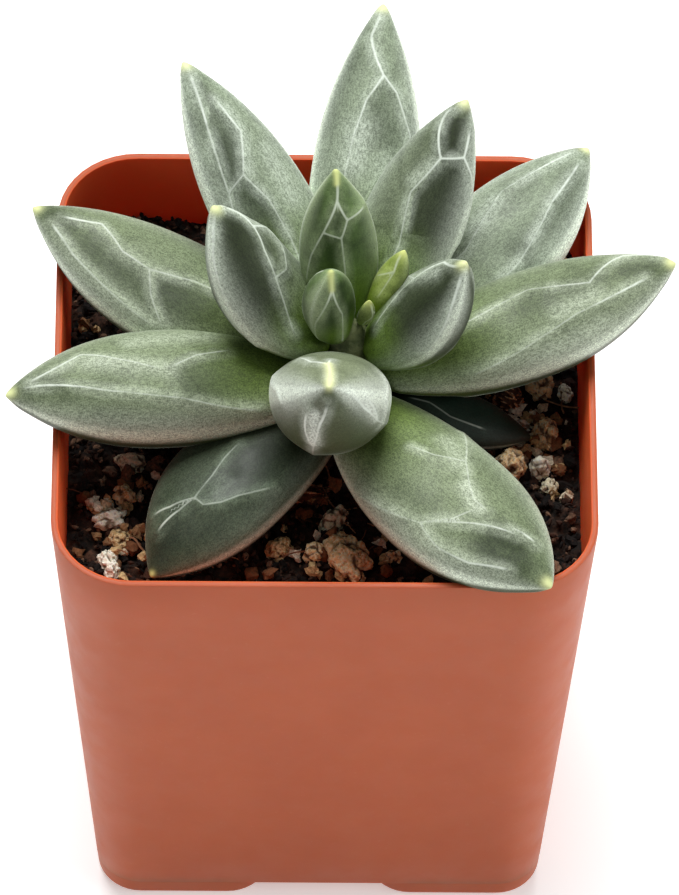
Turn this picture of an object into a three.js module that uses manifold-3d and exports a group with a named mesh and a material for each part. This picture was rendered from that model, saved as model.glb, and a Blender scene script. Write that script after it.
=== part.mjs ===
// A little jewel plant: a small rosette of thick, pointed, faceted leaves on a short stem, potted in gritty
// soil in a square plastic pot about 2 inches across. Millimetres, +Z up, +Y away from the viewer.
import * as THREE from "three";
import { mergeVertices } from "three/addons/utils/BufferGeometryUtils.js";
import Module from "manifold-3d";

const wasm = await Module();
wasm.setup();

// Driving dimensions of the pot.
const POT_RIM = 51.0; // outer width across the rim
const POT_FOOT = 43.2; // outer width just above the rounded foot edge
const POT_HEIGHT = 57.5;
const POT_WALL = 0.7;
const POT_FLOOR = 1.2; // thickness of the pot's floor
const RIM_CORNER = 7.6; // plan radius of a corner at the rim
const FOOT_CORNER = 4.2; // plan radius of a corner at the foot
const FOOT_EDGE = 0.8; // radius of the rounded edge round each foot
const RIM_EDGE = 0.2; // softening of the rim's outer edge
const NOTCH_WIDTH = 9.4; // width of the channels under the floor, which leave four corner feet
const NOTCH_HEIGHT = 2.2;
const DRAIN_RADIUS = 2.6;
const DRAIN_OFFSET = 10.9; // centre of a drain hole from the pot's axis, along X and Y

// Driving dimensions of what is in the pot.
const SEAT_GAP = 0.3; // play between two touching pieces
const SOIL_BELOW_RIM = 8.4;
const SOIL_RELIEF = 0.9;
const STEM_X = 2.2;
const STEM_Y = 0.0;
const STEM_RADIUS = 3.3;
const STEM_TOP = 64.5;
const ROOT_DEPTH = 20.0; // reach of the root stub below the soil's surface
const SOIL_TOP = POT_HEIGHT - SOIL_BELOW_RIM;

// The pot's axis seen from the origin, which is the middle of the whole plan, leaves included.
const POT_AXIS = new THREE.Vector2(-1.56, -2.62);

// Each leaf: where it leaves the stem, where its tip is, its greatest width and thickness, how far its middle
// sags below and bends aside from the straight line from base to tip, and the share of its length, from its
// base, at which it is widest.
const LEAF_FIELDS = ["name", "base", "tip", "width", "thick", "sag", "bend", "widest"];
const LEAVES = [
  ["leaf_01_bud", [3.3, 0.3, 64.1], [4.0, -0.4, 68.3], 1.9, 1.7, 0.1, 0, 0.42],
  ["leaf_02_inner_front", [1.2, -0.9, 63.3], [0.4, -0.2, 72.5], 5.6, 4.6, 0.5, 0, 0.42],
  ["leaf_03_inner_right", [4.2, 1.6, 63.7], [7.3, 4.2, 70.0], 3.4, 2.8, 0.4, 0, 0.42],
  ["leaf_04_upper_back", [1.6, 1.7, 62.1], [0.8, 9.0, 75.9], 7.7, 6.0, 0.8, 0, 0.42],
  ["leaf_05_upper_right", [4.1, -1.2, 61.1], [12.9, 0.6, 72.9], 8.6, 6.8, 1.2, 0, 0.42],
  ["leaf_06_upper_left", [0.1, -0.6, 60.9], [-10.6, 6.2, 73.9], 9.4, 7.2, 1.3, -0.4, 0.42],
  ["leaf_07_back_right", [4.0, 2.4, 60.5], [13.2, 19.0, 74.1], 9.9, 7.6, 1.0, -0.5, 0.42],
  ["leaf_08_front", [0.7, -1.8, 57.7], [0.2, -14.4, 73.5], 11.7, 9.8, 1.1, 0, 0.42],
  ["leaf_09_back_left", [0.6, 1.8, 59.7], [-13.6, 24.3, 72.9], 10.2, 7.8, 1.0, 0.5, 0.42],
  ["leaf_10_back", [2.6, 2.6, 58.7], [5.4, 32.6, 71.6], 10.8, 8.2, 0.8, -0.2, 0.42],
  ["leaf_11_right", [4.8, -0.4, 57.7], [33.0, 7.8, 63.7], 11.4, 8.6, 0.9, 0.3, 0.5],
  ["leaf_12_left", [-0.2, -1.2, 57.3], [-29.9, -6.8, 61.7], 12.3, 9.4, 0.7, 0.6, 0.5],
  ["leaf_13_left_back", [0.2, 1.4, 57.3], [-27.8, 15.2, 62.1], 12.0, 8.6, 0.8, -0.9, 0.48],
  ["leaf_14_right_back", [4.2, 2.0, 57.1], [25.2, 23.8, 60.9], 12.0, 8.8, 0.4, 0.9, 0.52],
  ["leaf_15_front_right", [2.2, -3.0, 55.5], [20.9, -27.0, 59.7], 13.4, 8.8, -0.4, 0.9, 0.54],
  ["leaf_16_front_left", [0.4, -2.6, 54.3], [-16.2, -20.5, 51.9], 12.1, 7.4, -0.8, 1.0, 0.52],
  ["leaf_17_low_right", [4.6, -1.6, 54.1], [19.6, -3.7, 51.4], 6.8, 4.4, -0.3, 0, 0.42],
].map((row) => Object.fromEntries(row.map((value, i) => [LEAF_FIELDS[i], value])));
const LEAF_NECK = 0.42; // width at a leaf's base as a share of its greatest width
const LEAF_SIDES = 12;
const LEAF_RINGS = 11;

// Grit lying on the soil: plan position in the pot, half-lengths along X, Y and Z, and a turn in degrees.
const GRIT = [
  { name: "pumice_01", at: [2.3, -16.6], half: [1.9, 2.9, 1.9], turn: 25 },
  { name: "pumice_02", at: [17.6, -6.1], half: [1.5, 1.7, 2.0], turn: -20 },
  { name: "pumice_03", at: [20.4, -6.0], half: [1.1, 1.1, 1.5], turn: 30 },
  { name: "pumice_04", at: [20.6, 3.6], half: [1.3, 1.6, 1.5], turn: 10 },
  { name: "pumice_05", at: [21.0, -2.0], half: [1.25, 1.8, 1.5], turn: 15 },
  { name: "pumice_06", at: [18.5, -1.0], half: [1.1, 1.0, 1.1], turn: 0 },
  { name: "pumice_07", at: [22.9, 2.7], half: [0.8, 0.9, 1.0], turn: 20 },
  { name: "pumice_08", at: [21.3, -7.9], half: [1.0, 0.9, 0.9], turn: 35 },
  { name: "pumice_09", at: [-18.8, -9.4], half: [1.2, 1.1, 1.1], turn: 0 },
  { name: "pumice_10", at: [-20.2, -12.2], half: [1.8, 1.1, 1.1], turn: 12 },
  { name: "pumice_11", at: [-19.1, -14.5], half: [1.0, 1.1, 0.9], turn: 45 },
  { name: "pumice_12", at: [-20.2, -17.5], half: [1.1, 1.6, 1.3], turn: 15 },
  { name: "pumice_13", at: [-18.3, -5.8], half: [1.5, 1.0, 1.0], turn: -10 },
  { name: "pumice_14", at: [1.0, -12.1], half: [1.6, 1.4, 1.3], turn: 40 },
  { name: "pumice_15", at: [-0.9, -16.1], half: [1.1, 1.2, 1.1], turn: 50 },
  { name: "pumice_16", at: [-4.2, -15.4], half: [1.3, 1.3, 1.1], turn: -35 },
  { name: "pumice_17", at: [6.4, -16.1], half: [1.0, 0.9, 0.9], turn: 5 },
  { name: "pumice_18", at: [-12.6, 17.6], half: [1.5, 1.2, 1.1], turn: 20 },
  { name: "pumice_19", at: [11.2, 17.8], half: [1.5, 1.4, 1.1], turn: -25 },
  { name: "pumice_20", at: [-20.4, 3.6], half: [1.3, 1.6, 1.1], turn: 60 },
  { name: "bark_01", at: [-1.4, -9.2], half: [2.7, 1.1, 1.1], turn: 5 },
  { name: "bark_02", at: [17.6, 1.8], half: [1.7, 1.4, 1.2], turn: -30 },
  { name: "bark_03", at: [-16.8, 13.2], half: [2.2, 1.1, 0.9], turn: -40 },
];

const POT_MATERIAL = { color: 0xb3593c, roughness: 0.5, metalness: 0 };
const LEAF_MATERIAL = { color: 0x7d9178, roughness: 0.62, metalness: 0 };
const STEM_MATERIAL = { color: 0x7c8a56, roughness: 0.7, metalness: 0 };
const SOIL_MATERIAL = { color: 0x2e1f17, roughness: 0.95, metalness: 0 };
const PUMICE_MATERIAL = { color: 0xb79a78, roughness: 0.95, metalness: 0 };
const BARK_MATERIAL = { color: 0x7a4326, roughness: 0.9, metalness: 0 };

// Turns a closed geometry into a solid for joining and cutting.
function solidOf(geometry) {
  const bare = geometry.clone();
  bare.deleteAttribute("normal");
  bare.deleteAttribute("uv");
  const merged = mergeVertices(bare, 1e-4);
  return new wasm.Manifold(
    new wasm.Mesh({
      numProp: 3,
      vertProperties: new Float32Array(merged.attributes.position.array),
      triVerts: new Uint32Array(merged.index.array),
    }),
  );
}

// Turns a solid back into a geometry, and keeps only its largest body.
function geometryOf(solid) {
  const bodies = solid.decompose();
  bodies.sort((a, b) => b.volume() - a.volume());
  const mesh = bodies[0].getMesh();
  const geometry = new THREE.BufferGeometry();
  const positions = new Float32Array(mesh.numVert * 3);
  for (let i = 0; i < mesh.numVert; i += 1) {
    const start = i * mesh.numProp;
    positions.set(mesh.vertProperties.subarray(start, start + 3), i * 3);
  }
  geometry.setAttribute("position", new THREE.BufferAttribute(positions, 3));
  geometry.setIndex(new THREE.BufferAttribute(new Uint32Array(mesh.triVerts), 1));
  geometry.computeVertexNormals();
  return geometry;
}

// Skins a stack of closed rings that have the same number of points, lowest ring first and each ring
// anticlockwise seen from the far end, and caps both ends with a fan.
function skinRings(rings) {
  const sides = rings[0].length;
  const positions = rings.flat().flatMap((p) => [p.x, p.y, p.z]);
  const middleOf = (ring) => ring.reduce((sum, p) => sum.add(p), new THREE.Vector3()).divideScalar(sides);
  const first = middleOf(rings[0]);
  const last = middleOf(rings[rings.length - 1]);
  positions.push(first.x, first.y, first.z, last.x, last.y, last.z);
  const firstIndex = rings.length * sides;
  const lastRing = (rings.length - 1) * sides;
  const faces = [];
  for (let j = 0; j < sides; j += 1) {
    const k = (j + 1) % sides;
    for (let i = 0; i < rings.length - 1; i += 1) {
      const low = i * sides;
      const high = low + sides;
      faces.push(low + j, low + k, high + k, low + j, high + k, high + j);
    }
    faces.push(firstIndex, k, j, firstIndex + 1, lastRing + j, lastRing + k);
  }
  const geometry = new THREE.BufferGeometry();
  geometry.setAttribute("position", new THREE.Float32BufferAttribute(positions, 3));
  geometry.setIndex(faces);
  return geometry;
}

// A square with rounded corners at height z, anticlockwise.
function roundedSquare(width, corner, z, steps = 6) {
  const points = [];
  const reach = width / 2 - corner;
  for (let quarter = 0; quarter < 4; quarter += 1) {
    const middle = ((quarter + 0.5) * Math.PI) / 2;
    const x = Math.sign(Math.cos(middle)) * reach;
    const y = Math.sign(Math.sin(middle)) * reach;
    for (let i = 0; i <= steps; i += 1) {
      const angle = ((quarter + i / steps) * Math.PI) / 2;
      points.push(new THREE.Vector3(x + corner * Math.cos(angle), y + corner * Math.sin(angle), z));
    }
  }
  return points;
}

// Outer width and corner radius of the pot's plain wall at height z.
function potAt(z) {
  const share = z / POT_HEIGHT;
  return {
    width: THREE.MathUtils.lerp(POT_FOOT, POT_RIM, share),
    corner: THREE.MathUtils.lerp(FOOT_CORNER, RIM_CORNER, share),
  };
}

// A ring of the pot's wall at height z, taken in by inset all round.
function potRing(z, inset) {
  const { width, corner } = potAt(z);
  return roundedSquare(width - 2 * inset, Math.max(corner - inset, 0.4), z);
}

// The space inside the pot from height low to height high, taken in by a further gap.
function potInside(low, high, gap) {
  const rings = [];
  const steps = 3;
  const soft = 1.2; // rounding between the floor and the walls
  rings.push(potRing(low, POT_WALL + gap + soft));
  rings.push(potRing(low + soft * 0.3, POT_WALL + gap + soft * 0.3));
  for (let i = 0; i <= steps; i += 1) {
    rings.push(potRing(low + soft + ((high - low - soft) * i) / steps, POT_WALL + gap));
  }
  return skinRings(rings);
}

// A foot in the corner of the plan that signX and signY name, taken up into the floor.
function makeFoot(signX, signY) {
  const apart = 0.02; // keeps the foot's sides just inside the pot's wall
  const rings = [];
  const edgeSteps = 4;
  for (let i = 0; i <= edgeSteps + 1; i += 1) {
    const angle = ((Math.min(i, edgeSteps) / edgeSteps) * Math.PI) / 2;
    const z = i > edgeSteps ? NOTCH_HEIGHT + POT_FLOOR / 2 : FOOT_EDGE * (1 - Math.cos(angle));
    const inset = FOOT_EDGE * (1 - Math.sin(angle));
    const { width, corner } = potAt(z);
    const far = width / 2 - apart - inset;
    const near = NOTCH_WIDTH / 2 + inset;
    const centre = (far + near) / 2;
    const ring = roundedSquare(far - near, corner - inset, z);
    rings.push(ring.map((p) => new THREE.Vector3(p.x + signX * centre, p.y + signY * centre, z)));
  }
  return solidOf(skinRings(rings));
}

function makePot() {
  const soft = 0.2;
  const outer = [
    potRing(NOTCH_HEIGHT, soft),
    potRing(NOTCH_HEIGHT + soft, 0),
    potRing(POT_HEIGHT / 2, 0),
    potRing(POT_HEIGHT - RIM_EDGE, 0),
    potRing(POT_HEIGHT, RIM_EDGE),
  ];
  let pot = solidOf(skinRings(outer));
  for (const [signX, signY] of [[1, 1], [-1, 1], [-1, -1], [1, -1]]) {
    pot = pot.add(makeFoot(signX, signY));
  }
  const floorTop = NOTCH_HEIGHT + POT_FLOOR;
  pot = pot.subtract(solidOf(potInside(floorTop, POT_HEIGHT + 2, 0)));

  const drain = new THREE.CylinderGeometry(DRAIN_RADIUS, DRAIN_RADIUS, 4 * POT_FLOOR, 16);
  drain.rotateX(Math.PI / 2).translate(0, 0, floorTop);
  for (const [x, y] of [[0, 0], [1, 0], [-1, 0], [0, 1], [0, -1]]) {
    pot = pot.subtract(solidOf(drain.clone().translate(x * DRAIN_OFFSET, y * DRAIN_OFFSET, 0)));
  }
  return pot;
}

// The upper part of the pot's wall, grown by gap on every side.
function potRimClear(gap) {
  const low = POT_HEIGHT / 2;
  const high = POT_HEIGHT + gap;
  const outer = skinRings([potRing(low, -gap), potRing(high, -gap)]);
  return solidOf(outer).subtract(solidOf(potInside(low - 3, high + 3, gap)));
}

// The short stem with its root stub, from the stub's lower end to the growing point.
function makeStem(gap = 0) {
  const low = SOIL_TOP - ROOT_DEPTH;
  const outline = [
    [0, low - gap],
    [1.0 + gap, low - gap],
    [2.2 + gap, SOIL_TOP - 12],
    [STEM_RADIUS + gap, SOIL_TOP - 4],
    [STEM_RADIUS + gap, SOIL_TOP + 6],
    [STEM_RADIUS * 0.86 + gap, STEM_TOP - 5.0],
    [STEM_RADIUS * 0.62 + gap, STEM_TOP - 2.2],
    [STEM_RADIUS * 0.3 + gap, STEM_TOP - 0.5 + gap * 0.7],
    [0, STEM_TOP + gap],
  ];
  const profile = outline.map(([r, z]) => new THREE.Vector2(r, z));
  const stem = new THREE.LatheGeometry(profile, 16);
  return stem.rotateX(Math.PI / 2).translate(STEM_X, STEM_Y, 0);
}

// Share of the greatest width that a leaf has at a share t of its length.
function leafProfile(t, widest) {
  if (t < widest) {
    const back = (widest - t) / widest;
    return LEAF_NECK + (1 - LEAF_NECK) * (1 - back ** 2.2);
  }
  const ahead = (t - widest) / (1 - widest);
  return (1 - ahead ** 2.2) ** 0.9;
}

// A leaf as a skin of rings along its own gently bent line. grow makes it larger all round.
function makeLeaf(leaf, grow = 0) {
  const base = new THREE.Vector3(...leaf.base);
  const tip = new THREE.Vector3(...leaf.tip);
  const along = tip.clone().sub(base);
  const length = along.length();
  along.normalize();
  const side = new THREE.Vector3().crossVectors(along, new THREE.Vector3(0, 0, 1)).normalize();
  const face = new THREE.Vector3().crossVectors(side, along);
  const rings = [];
  for (let i = 0; i <= LEAF_RINGS; i += 1) {
    const t = 0.995 * (1 - (1 - i / LEAF_RINGS) ** 1.25);
    const reach = leafProfile(t, leaf.widest);
    const bow = 4 * t * (1 - t);
    const middle = base.clone().addScaledVector(along, t * (length + grow));
    middle.addScaledVector(face, -leaf.sag * bow).addScaledVector(side, leaf.bend * bow);
    const ring = [];
    for (let j = 0; j < LEAF_SIDES; j += 1) {
      const angle = (-2 * Math.PI * j) / LEAF_SIDES;
      const c = Math.cos(angle);
      const s = Math.sin(angle);
      const depth = s > 0 ? 0.42 : 0.58; // the upper face is flatter than the keeled underside
      const across = Math.sign(c) * Math.abs(c) ** 0.92 * (leaf.width / 2) * reach + grow * c;
      const up = Math.sign(s) * Math.abs(s) ** 0.92 * leaf.thick * depth * reach + grow * s;
      ring.push(middle.clone().addScaledVector(side, across).addScaledVector(face, up));
    }
    rings.push(ring);
  }
  return skinRings(rings);
}

// A rounded, lumpy grain.
function makeGrain(grain, grow = 0) {
  const ball = new THREE.IcosahedronGeometry(1, 1);
  ball.deleteAttribute("normal");
  ball.deleteAttribute("uv");
  const lump = mergeVertices(ball);
  const position = lump.attributes.position;
  const seed = grain.at[0] * 1.7 + grain.at[1] * 2.3;
  for (let i = 0; i < position.count; i += 1) {
    const p = new THREE.Vector3().fromBufferAttribute(position, i);
    const wave = Math.sin(3.1 * p.x + seed) + Math.sin(4.3 * p.y - seed) + Math.sin(3.7 * p.z + 2 * seed);
    const size = 1 + 0.07 * wave;
    position.setXYZ(
      i,
      p.x * (grain.half[0] * size + grow),
      p.y * (grain.half[1] * size + grow),
      p.z * (grain.half[2] * size + grow),
    );
  }
  lump.rotateZ(THREE.MathUtils.degToRad(grain.turn));
  const height = soilHeight(grain.at[0], grain.at[1]) + grain.half[2] * 0.35;
  return lump.translate(grain.at[0], grain.at[1], height);
}

// Height of the soil's lumpy surface at a place in the pot.
function soilHeight(x, y) {
  const lumps =
    Math.sin(0.71 * x + 1.3) * Math.cos(0.83 * y - 0.4) +
    0.6 * Math.sin(1.57 * x - 0.9 * y) +
    0.5 * Math.cos(1.9 * y + 1.1 * x + 2.0);
  return SOIL_TOP + (SOIL_RELIEF * lumps) / 2.1;
}

// The soil that fills the pot, with a hole for the stem and hollows under whatever lies in it.
function makeSoil(holes) {
  const cells = 16;
  const depth = 70;
  const block = new THREE.BoxGeometry(POT_RIM, POT_RIM, depth, cells, cells, 1);
  const position = block.attributes.position;
  for (let i = 0; i < position.count; i += 1) {
    if (position.getZ(i) > 0) {
      position.setZ(i, soilHeight(position.getX(i), position.getY(i)));
    } else {
      position.setZ(i, -10);
    }
  }
  const inside = solidOf(potInside(NOTCH_HEIGHT + POT_FLOOR + SEAT_GAP, POT_HEIGHT, SEAT_GAP));
  return solidOf(block).intersect(inside).subtract(holes);
}

function addPiece(group, name, geometry, look) {
  const mesh = new THREE.Mesh(geometry, new THREE.MeshStandardMaterial(look));
  mesh.name = name;
  group.add(mesh);
}

const plantPot = new THREE.Group();
plantPot.position.set(POT_AXIS.x, POT_AXIS.y, 0);

addPiece(plantPot, "pot", geometryOf(makePot()), POT_MATERIAL);

const stemClear = solidOf(makeStem(SEAT_GAP));
addPiece(plantPot, "stem", geometryOf(solidOf(makeStem())), STEM_MATERIAL);

// The leaves are made from the growing point down.
// Each is cut clear of the stem, the rim and the leaves above it.
let taken = stemClear.add(potRimClear(SEAT_GAP));
for (const leaf of LEAVES) {
  const solid = solidOf(makeLeaf(leaf)).subtract(taken);
  addPiece(plantPot, leaf.name, geometryOf(solid), LEAF_MATERIAL);
  taken = taken.add(solidOf(makeLeaf(leaf, SEAT_GAP)));
}

for (const grain of GRIT) {
  const look = grain.name.startsWith("bark") ? BARK_MATERIAL : PUMICE_MATERIAL;
  addPiece(plantPot, grain.name, geometryOf(solidOf(makeGrain(grain)).subtract(taken)), look);
  taken = taken.add(solidOf(makeGrain(grain, SEAT_GAP)));
}
addPiece(plantPot, "soil", geometryOf(makeSoil(taken)), SOIL_MATERIAL);

const plant = new THREE.Group();
plant.add(plantPot);
export default plant;
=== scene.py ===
import math
import random

import bpy
import numpy as np
from mathutils import Matrix, Vector, kdtree, noise


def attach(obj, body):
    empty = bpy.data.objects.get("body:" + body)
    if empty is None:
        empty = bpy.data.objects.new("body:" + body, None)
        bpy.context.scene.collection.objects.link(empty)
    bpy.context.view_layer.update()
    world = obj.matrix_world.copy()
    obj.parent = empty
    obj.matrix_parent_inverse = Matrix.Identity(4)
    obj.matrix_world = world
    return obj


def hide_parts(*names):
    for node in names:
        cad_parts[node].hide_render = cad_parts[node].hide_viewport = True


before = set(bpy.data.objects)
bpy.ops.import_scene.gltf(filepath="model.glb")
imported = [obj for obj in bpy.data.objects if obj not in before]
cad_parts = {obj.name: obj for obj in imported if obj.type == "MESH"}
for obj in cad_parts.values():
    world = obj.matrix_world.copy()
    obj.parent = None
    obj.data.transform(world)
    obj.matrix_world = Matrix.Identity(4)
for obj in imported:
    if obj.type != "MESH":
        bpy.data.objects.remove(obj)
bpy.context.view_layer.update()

MM = 0.001

# The pot and what is in it, as in the solid model.
POT_AXIS = Vector((-1.56, -2.62, 0.0)) * MM
POT_RIM = 51.0
POT_FOOT = 43.2
POT_HEIGHT = 57.5
POT_WALL = 0.7
POT_FLOOR = 1.2
RIM_CORNER = 7.6
FOOT_CORNER = 4.2
SMALLEST_CORNER = 0.4
CORNER_STEPS = 10
FOOT_EDGE = 0.8
FOOT_EDGE_STEPS = 7
RIM_EDGE = 0.2
NOTCH_WIDTH = 9.4
NOTCH_HEIGHT = 2.2
FOOT_APART = 0.02
DRAIN_RADIUS = 2.6
DRAIN_OFFSET = 10.9
SOIL_TOP = POT_HEIGHT - 8.4
SOIL_RELIEF = 0.9

# What is strewn on the soil, which is a fine grid that is roughened.
SOIL_GRID = 195
CRUMBS = 1500
DUST_GRAINS = 4600
FIBRES = 150

# Camera: where the photo was taken from, seen from the middle of the pot's rim.
CAMERA_RAISED = math.radians(53.63)
CAMERA_ROUND = math.radians(-1.0)
CAMERA_ROLL = math.radians(1.2)
CAMERA_AWAY = 816.0
CAMERA_ASIDE = 1.38
CAMERA_UP = -7.63
CAMERA_LENS = 348.5

# Each leaf: base, tip, greatest width and thickness, sag, sideways bend and where it is widest, as in the
# solid model, then the skin it has.
LEAVES = [
    ("leaf_01_bud", (3.3, 0.3, 64.1), (4.0, -0.4, 68.3), 1.9, 1.7, 0.1, 0, 0.42, "bud"),
    ("leaf_02_inner_front", (1.2, -0.9, 63.3), (0.4, -0.2, 72.5), 5.6, 4.6, 0.5, 0, 0.42, "inner"),
    ("leaf_03_inner_right", (4.2, 1.6, 63.7), (7.3, 4.2, 70.0), 3.4, 2.8, 0.4, 0, 0.42, "bud"),
    ("leaf_04_upper_back", (1.6, 1.7, 62.1), (0.8, 9.0, 75.9), 7.7, 6.0, 0.8, 0, 0.42, "inner"),
    ("leaf_05_upper_right", (4.1, -1.2, 61.1), (12.9, 0.6, 72.9), 8.6, 6.8, 1.2, 0, 0.42, "middle"),
    ("leaf_06_upper_left", (0.1, -0.6, 60.9), (-10.6, 6.2, 73.9), 9.4, 7.2, 1.3, -0.4, 0.42, "middle"),
    ("leaf_07_back_right", (4.0, 2.4, 60.5), (13.2, 19.0, 74.1), 9.9, 7.6, 1.0, -0.5, 0.42, "middle"),
    ("leaf_08_front", (0.7, -1.8, 57.7), (0.2, -14.4, 73.5), 11.7, 9.8, 1.1, 0, 0.42, "pale"),
    ("leaf_09_back_left", (0.6, 1.8, 59.7), (-13.6, 24.3, 72.9), 10.2, 7.8, 1.0, 0.5, 0.42, "back"),
    ("leaf_10_back", (2.6, 2.6, 58.7), (5.4, 32.6, 71.6), 10.8, 8.2, 0.8, -0.2, 0.42, "back"),
    ("leaf_11_right", (4.8, -0.4, 57.7), (33.0, 7.8, 63.7), 11.4, 8.6, 0.9, 0.3, 0.5, "outer"),
    ("leaf_12_left", (-0.2, -1.2, 57.3), (-29.9, -6.8, 61.7), 12.3, 9.4, 0.7, 0.6, 0.5, "outer"),
    ("leaf_13_left_back", (0.2, 1.4, 57.3), (-27.8, 15.2, 62.1), 12.0, 8.6, 0.8, -0.9, 0.48, "outer"),
    ("leaf_14_right_back", (4.2, 2.0, 57.1), (25.2, 23.8, 60.9), 12.0, 8.8, 0.4, 0.9, 0.52, "back"),
    ("leaf_15_front_right", (2.2, -3.0, 55.5), (20.9, -27.0, 59.7), 13.4, 8.8, -0.4, 0.9, 0.54, "outer"),
    ("leaf_16_front_left", (0.4, -2.6, 54.3), (-16.2, -20.5, 51.9), 12.1, 7.4, -0.8, 1.0, 0.52, "low"),
    ("leaf_17_low_right", (4.6, -1.6, 54.1), (19.6, -3.7, 51.4), 6.8, 4.4, -0.3, 0, 0.42, "deep_shade"),
]
LEAF_NECK = 0.42  # width by the stem, as a share of the greatest width
UPPER_SHARE = 0.42  # share of the thickness above the leaf's widest plane
LEAF_SIDES = 16
LEAF_RINGS = 20
LAST_RING = 0.988  # share of the length at which the last ring lies, before the tip
RING_CROWDING = 1.2  # above 1, the rings crowd towards the tip

# Each skin's colours where it faces down and where it faces up, which paint its shade and light, by the stem
# and where there is powder, then how grainy it is.
SKINS = [
    ("outer", (0.034, 0.050, 0.020), (0.182, 0.226, 0.135), (0.13, 0.21, 0.018), (0.62, 0.68, 0.59), 0.85),
    ("back", (0.040, 0.056, 0.030), (0.245, 0.295, 0.220), (0.13, 0.21, 0.020), (0.70, 0.77, 0.72), 0.8),
    ("middle", (0.018, 0.027, 0.009), (0.185, 0.225, 0.15), (0.12, 0.21, 0.012), (0.66, 0.73, 0.66), 0.7),
    ("inner", (0.018, 0.040, 0.006), (0.11, 0.19, 0.05), (0.16, 0.28, 0.02), (0.48, 0.58, 0.36), 0.35),
    ("pale", (0.066, 0.082, 0.040), (0.20, 0.235, 0.145), (0.09, 0.13, 0.02), (0.74, 0.79, 0.74), 0.5),
    # The low and deep skins are darker copies: painted shade for the two leaves that lie under the others.
    ("low", (0.008, 0.014, 0.008), (0.044, 0.060, 0.036), (0.012, 0.018, 0.007), (0.20, 0.25, 0.19), 0.8),
    ("bud", (0.06, 0.10, 0.008), (0.32, 0.43, 0.07), (0.22, 0.34, 0.02), (0.66, 0.76, 0.34), 0.3),
    ("deep_shade", (0.003, 0.008, 0.005), (0.010, 0.022, 0.015), (0.003, 0.008, 0.004), (0.03, 0.045, 0.035), 0.6),
]
RIM_HIGHLIGHT_COLOR = (0.86, 0.94, 0.84)
LINE_COLOR = (0.84, 0.92, 0.80)
TIP_COLOR = (0.86, 0.90, 0.26)

# Where a leaf's pale outline starts and where it is full, as values of the attribute edge. The outline is
# partly powder and partly a painted rim highlight.
THIN_OUTLINE = (0.70, 0.93)
WIDE_OUTLINE = (0.42, 0.78)

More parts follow.
